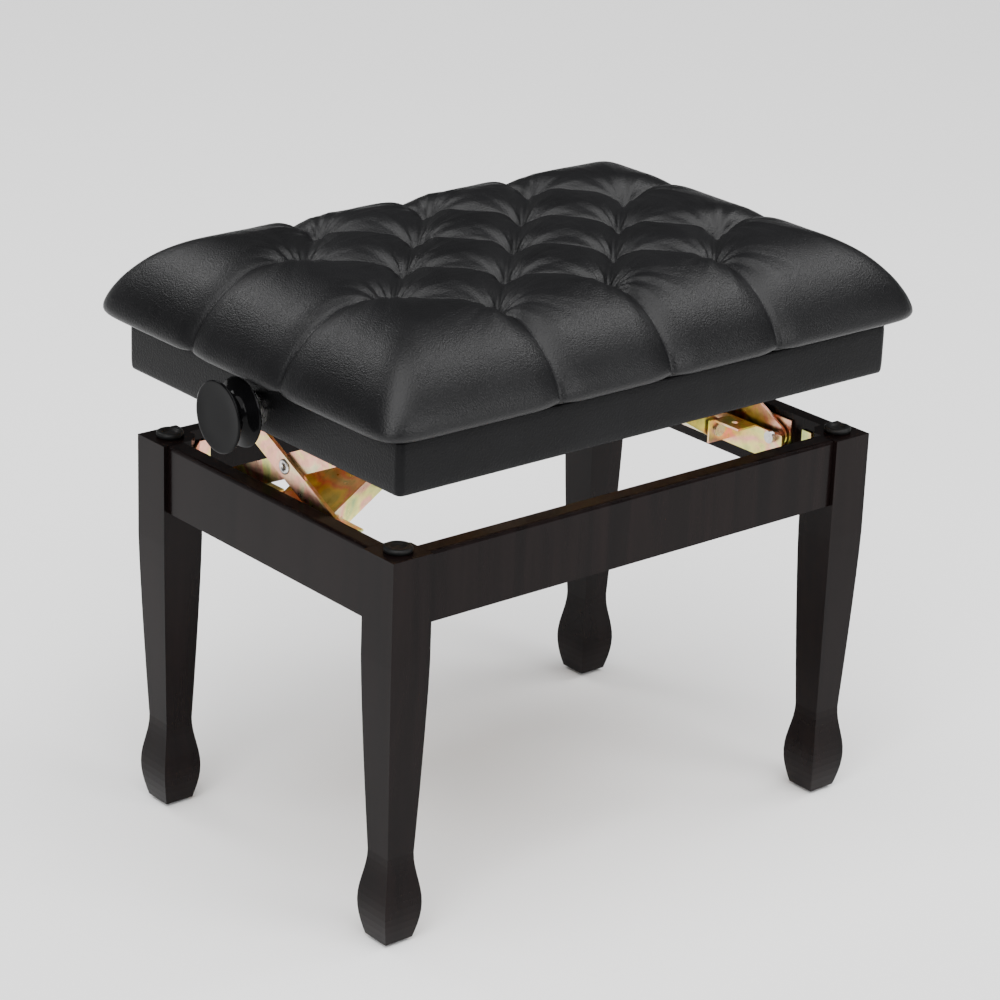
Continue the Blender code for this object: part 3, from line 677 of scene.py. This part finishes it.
def make_seat_box():
    """The leather drawn over the four rails, tucked under and stapled to their inner faces."""
    low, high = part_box("seat_rail_front")
    side_low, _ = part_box("seat_rail_right")
    thick = high.x - side_low.x
    bottom, top = low.z, high.z
    half_x, half_y = high.x, -low.y
    edge = BOX_EDGE
    tuck = bottom + 0.3 * (top - bottom)
    section = [(-thick, top), (-edge, top), (-0.3 * edge, top - 0.3 * edge), (0.0, top - edge)]
    section += [(0.0004, top - share * (top - bottom)) for share in (0.2, 0.4, 0.6, 0.8)]
    section += [(0.0, bottom + edge), (-0.3 * edge, bottom + 0.3 * edge), (-edge, bottom)]
    section += [(edge - thick, bottom), (0.3 * edge - thick, bottom + 0.3 * edge)]
    section += [(-thick, bottom + edge), (-thick, tuck), (-thick + 0.0012, tuck + 0.0003)]
    section += [(-thick + 0.0012, top - 0.0002)]
    points = []
    for out, height in section:
        corner = max(BOX_CORNER + out, 0.0015)
        points += rounded_ring(half_x + out, half_y + out, corner, height)
    count = len(points) // len(section)
    faces = ring_faces(len(section), count, closed_rows=True)
    piece = mesh_piece("seat_box_cover", points, faces, BOX_LEATHER, 50)
    piece.data.materials.append(PLYWOOD)
    for face in piece.data.polygons:
        middle = face.center
        inside = abs(middle.x) < half_x - thick + 0.0015 and abs(middle.y) < half_y - thick + 0.0015
        if inside and middle.z > tuck:
            face.material_index = 1
    bore_cover(piece)
    keep_flat(piece)
    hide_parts(*[f"seat_rail_{word}" for word in ("front", "rear", "left", "right")])
    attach(piece, "seat")
    return piece


# ---------------------------------------------------------------- knobs, screw, bumpers

def make_knob(word, side):
    low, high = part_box(f"knob_{word}")
    inner = min(abs(low.x), abs(high.x))
    length = high.x - low.x
    radius = (high.z - low.z) / 2
    bore = (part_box("screw")[1].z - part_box("screw")[0].z) / 2 + 0.0003
    neck = 0.57 * radius
    shape = [(0.0, bore), (0.0, 0.86 * radius), (0.025, 0.945 * radius), (0.07, 0.97 * radius)]
    shape += [(0.11, 0.945 * radius)]
    for step in range(13):
        share = step / 12
        dip = math.sin(math.pi * share) ** 0.8
        shape.append((0.12 + 0.76 * share, 0.93 * radius + (neck - 0.93 * radius) * dip))
    shape += [(0.895, 0.965 * radius), (0.915, 0.99 * radius), (0.94, radius), (0.965, radius)]
    shape += [(0.985, 0.992 * radius), (0.996, 0.975 * radius), (1.0, 0.95 * radius)]
    shape += [(0.992, 0.90 * radius), (0.990, 0.5 * radius), (0.990, 0.001)]
    profile = [(side * (inner + share * length), reach) for share, reach in shape]
    profile = [(side * (inner + 0.6 * length), 0.001), (side * (inner + 0.6 * length), bore)] + profile
    centre = centre_of(f"knob_{word}")
    piece = turned_piece(f"knob_turned_{word}", "X", (centre.y, centre.z), profile, 72, GLOSS, 60)
    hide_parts(f"knob_{word}")
    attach(piece, "screw")


def make_screw():
    """The rod with a right-hand thread on one half and a left-hand thread on the other."""
    low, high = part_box("screw")
    radius = (high.z - low.z) / 2
    centre = (low + high) / 2
    sides = 20
    start, stop = THREAD_START, THREAD_STOP
    steps = round((stop - start) / THREAD_PITCH * 8)
    runs = [high.x] + [stop - (stop - start) * step / steps for step in range(steps + 1)]
    runs += [-x for x in reversed(runs)]
    points = []
    for x in runs:
        for step in range(sides):
            angle = 2 * math.pi * step / sides
            turn = (abs(x) / THREAD_PITCH + angle / (2 * math.pi)) % 1.0
            fade = min(1.0, max(0.0, (abs(x) - start) / 0.003), max(0.0, (stop - abs(x)) / 0.003))
            reach = radius - THREAD_DEPTH * abs(2 * turn - 1) * fade
            points.append((x, centre.y + reach * math.cos(angle), centre.z + reach * math.sin(angle)))
    faces = ring_faces(len(runs), sides)
    piece = mesh_piece("screw_threaded", points, faces, STEEL, 60)
    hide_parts("screw")
    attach(piece, "screw")


def make_bumper(place):
    """A domed rubber bumper with a raised rim and a fixing recess."""
    name = f"bumper_{place}"
    low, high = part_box(name)
    radius = (high.x - low.x) / 2
    tall = high.z - low.z
    centre = (low + high) / 2
    shape = ((0.93, 0.0), (0.97, 0.10), (1.0, 0.45), (0.985, 0.72), (0.93, 0.90), (0.84, 0.985),
             (0.74, 1.0), (0.62, 0.96), (0.54, 0.82), (0.48, 0.66), (0.30, 0.60), (0.02, 0.60))
    profile = [(low.z + tall * up, radius * out) for out, up in shape]
    piece = turned_piece(f"bumper_domed_{place}", "Z", (centre.x, centre.y), profile, 48, RUBBER, 60)
    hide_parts(name)
    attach(piece, "frame")


def make_rivet(word, side):
    """The rolled eyelet where the arms cross, open through the middle."""
    name = f"arm_rivet_{word}"
    low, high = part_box(name)
    centre = (low + high) / 2
    head = (high.z - low.z) / 2
    pin = RIVET_SHANK
    bore = RIVET_BORE
    outer = max(abs(low.x), abs(high.x))
    inner = min(abs(low.x), abs(high.x))
    cap = RIVET_CAP
    shape = [(outer - cap, pin), (outer - cap, head * 0.97), (outer - 0.6 * cap, head)]
    shape += [(outer - 0.1 * cap, head * 0.86), (outer, head * 0.70), (outer - 0.3 * cap, head * 0.5)]
    shape += [(outer - cap, bore), (inner + cap, bore), (inner + 0.3 * cap, head * 0.5)]
    shape += [(inner, head * 0.70), (inner + 0.1 * cap, head * 0.86), (inner + 0.6 * cap, head)]
    shape += [(inner + cap, head * 0.97), (inner + cap, pin)]
    sides = 32
    points = []
    for along, radius in shape:
        for step in range(sides):
            angle = 2 * math.pi * step / sides
            points.append((side * along, centre.y + radius * math.cos(angle),
                           centre.z + radius * math.sin(angle)))
    faces = ring_faces(len(shape), sides, closed_rows=True)
    piece = mesh_piece(f"eyelet_{word}", points, faces, STEEL, 45)
    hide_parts(name)
    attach(piece, f"first_arm_{word}")


# ---------------------------------------------------------------- carried CAD nodes

def dress_nodes():
    for place in PLACES:
        bevel(finish_node(f"leg_{place}", LACQUER), 0.0009)
        bevel(finish_node(f"corner_brace_{place}", ZINC), 0.0003)
        bevel(finish_node(f"corner_bolt_{place}", STEEL), 0.0003)
        bevel(finish_node(f"foot_glide_{place}", RUBBER), 0.0003)
    for word in ("front", "rear", "left", "right"):
        bevel(finish_node(f"apron_{word}", LACQUER), 0.0007)
    for word, _ in SIDES:
        for name in ("lower_bracket", "upper_bracket", "arm_a", "arm_b", "strut"):
            bevel(finish_node(f"{name}_{word}", ZINC), 0.0003)
        for name in ("arm_bolt", "strut_pin", "nut", "bearing"):
            bevel(finish_node(f"{name}_{word}", STEEL), 0.0003)
    bevel(finish_node("seat_panel", PLYWOOD), 0.0004)


# ---------------------------------------------------------------- studio

def make_floor():
    reach = 14.0
    points = ((-reach, -reach, 0), (reach, -reach, 0), (reach, reach, 0), (-reach, reach, 0))
    floor = mesh_piece("studio_floor", points, [(0, 1, 2, 3)], floor_finish())


def area_light(name, place, size, power, aim=(0, 0, 0.3)):
    data = bpy.data.lights.new(name, "AREA")
    data.shape = "RECTANGLE"
    data.size, data.size_y = size
    data.energy = power
    light = bpy.data.objects.new(name, data)
    bpy.context.scene.collection.objects.link(light)
    light.location = place
    light.rotation_euler = (Vector(aim) - Vector(place)).to_track_quat("-Z", "Y").to_euler()


def make_lights():
    world = bpy.data.worlds.new("studio")
    bpy.context.scene.world = world
    world.use_nodes = True
    background = world.node_tree.nodes["Background"]
    background.inputs["Color"].default_value = (1, 1, 1, 1)
    background.inputs["Strength"].default_value = 0.10
    sun = bpy.data.lights.new("dome", "SUN")
    sun.energy = 5.0
    sun.angle = math.radians(70)
    dome = bpy.data.objects.new("dome", sun)
    bpy.context.scene.collection.objects.link(dome)
    dome.rotation_euler = Vector((0.22, 0.30, -1.0)).to_track_quat("-Z", "Y").to_euler()
    area_light("key", (-2.3, -1.2, 1.5), (1.3, 1.3), 40)
    area_light("front", (1.0, -2.9, 1.4), (1.5, 1.1), 40)
    area_light("over_front", (1.5, -0.4, 2.2), (0.9, 0.9), 20, (0, 0, 0.5))
    area_light("over_side", (-0.5, 1.9, 2.0), (0.9, 0.9), 16, (0, 0, 0.5))


def make_camera():
    azimuth = math.radians(CAMERA_AZIMUTH)
    elevation = math.radians(CAMERA_ELEVATION)
    roll = math.radians(CAMERA_ROLL)
    back = Vector((math.sin(azimuth) * math.cos(elevation), -math.cos(azimuth) * math.cos(elevation),
                   math.sin(elevation)))
    right = (-back).cross(Vector((0, 0, 1))).normalized()
    up = right.cross(-back)
    right, up = right * math.cos(roll) + up * math.sin(roll), up * math.cos(roll) - right * math.sin(roll)
    data = bpy.data.cameras.new("camera")
    data.lens = CAMERA_LENS
    camera = bpy.data.objects.new("camera", data)
    bpy.context.scene.collection.objects.link(camera)
    turn = Matrix((right, up, back)).transposed().to_4x4()
    camera.matrix_world = Matrix.Translation(CAMERA_PLACE) @ turn
    bpy.context.scene.camera = camera


make_camera()
make_lights()
make_floor()
dress_nodes()
make_cushion()
make_seat_box()
make_screw()
for side_word, side_sign in SIDES:
    make_knob(side_word, side_sign)
    make_rivet(side_word, side_sign)
for corner_place in PLACES:
    make_bumper(corner_place)
